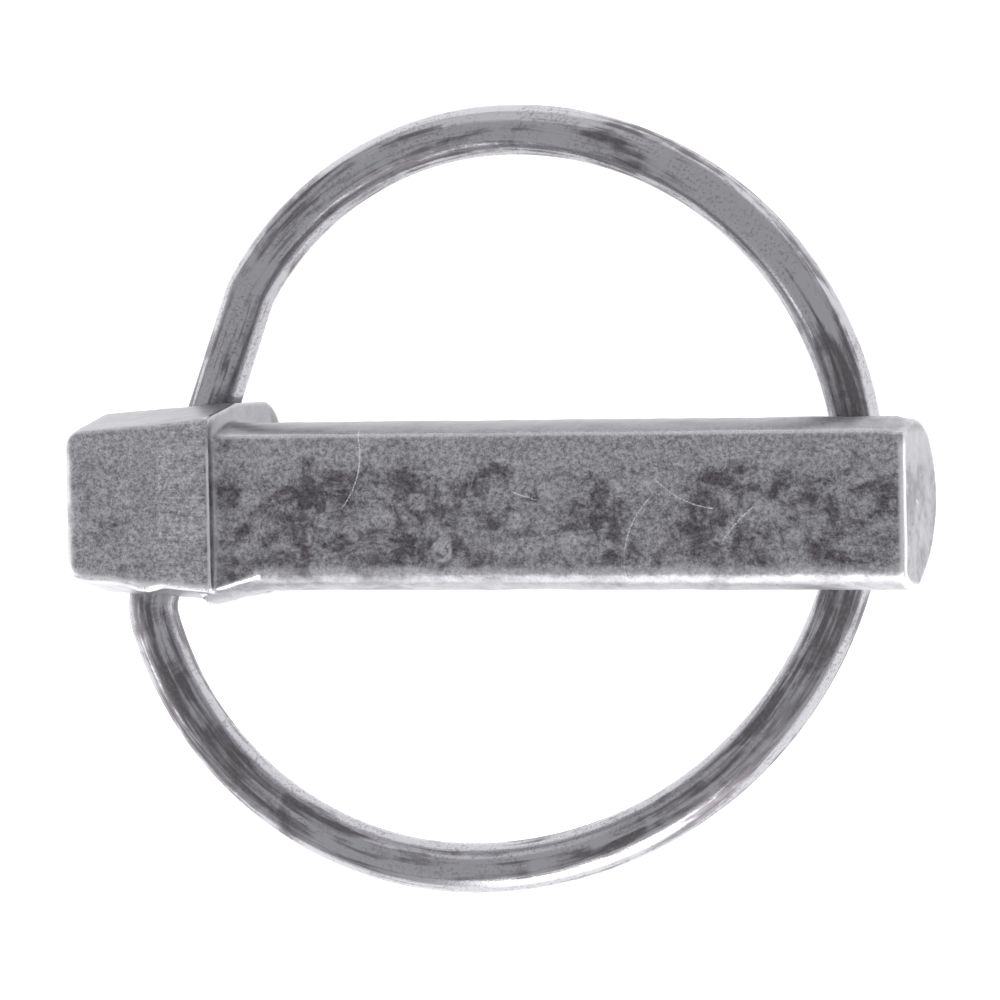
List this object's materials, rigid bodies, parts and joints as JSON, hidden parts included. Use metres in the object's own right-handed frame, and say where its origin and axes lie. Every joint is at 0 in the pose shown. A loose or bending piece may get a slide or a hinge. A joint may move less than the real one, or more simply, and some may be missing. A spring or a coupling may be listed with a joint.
{
  "type": "lynch pin",
  "caption": "Lynch pin: a D-section steel pin with a block head, and a spring-wire ring hinged in the head that snaps round the pin's far end to lock it.",
  "frame": {"origin": "where the shank's axis meets the head's shoulder", "axes": "+X along the shank to its tip, +Z the outward normal of the shank's flat, +Y completes the frame; the part lies on its back, on the head and the ring's far side"},
  "size_m": [0.0514, 0.0471, 0.0127],
  "materials": {
    "zinc_forging": "zinc-plated forging, mottled grey",
    "zinc_wire": "zinc-plated drawn spring wire, streaked"
  },
  "bodies": {
    "pin": {"pin_body": "zinc_forging"},
    "ring": {"spring_ring": "zinc_wire"}
  },
  "joints": [
    {"name": "ring_hinge", "type": "hinge", "parent": "pin", "child": "ring", "pos_m": [-0.0045, 0.0002, -0.004], "axis": [0.342, 0.9397, 0], "range_deg": [0, 180], "stiffness_Nm_per_rad": 0.02, "springref_deg": -11.46}
  ]
}
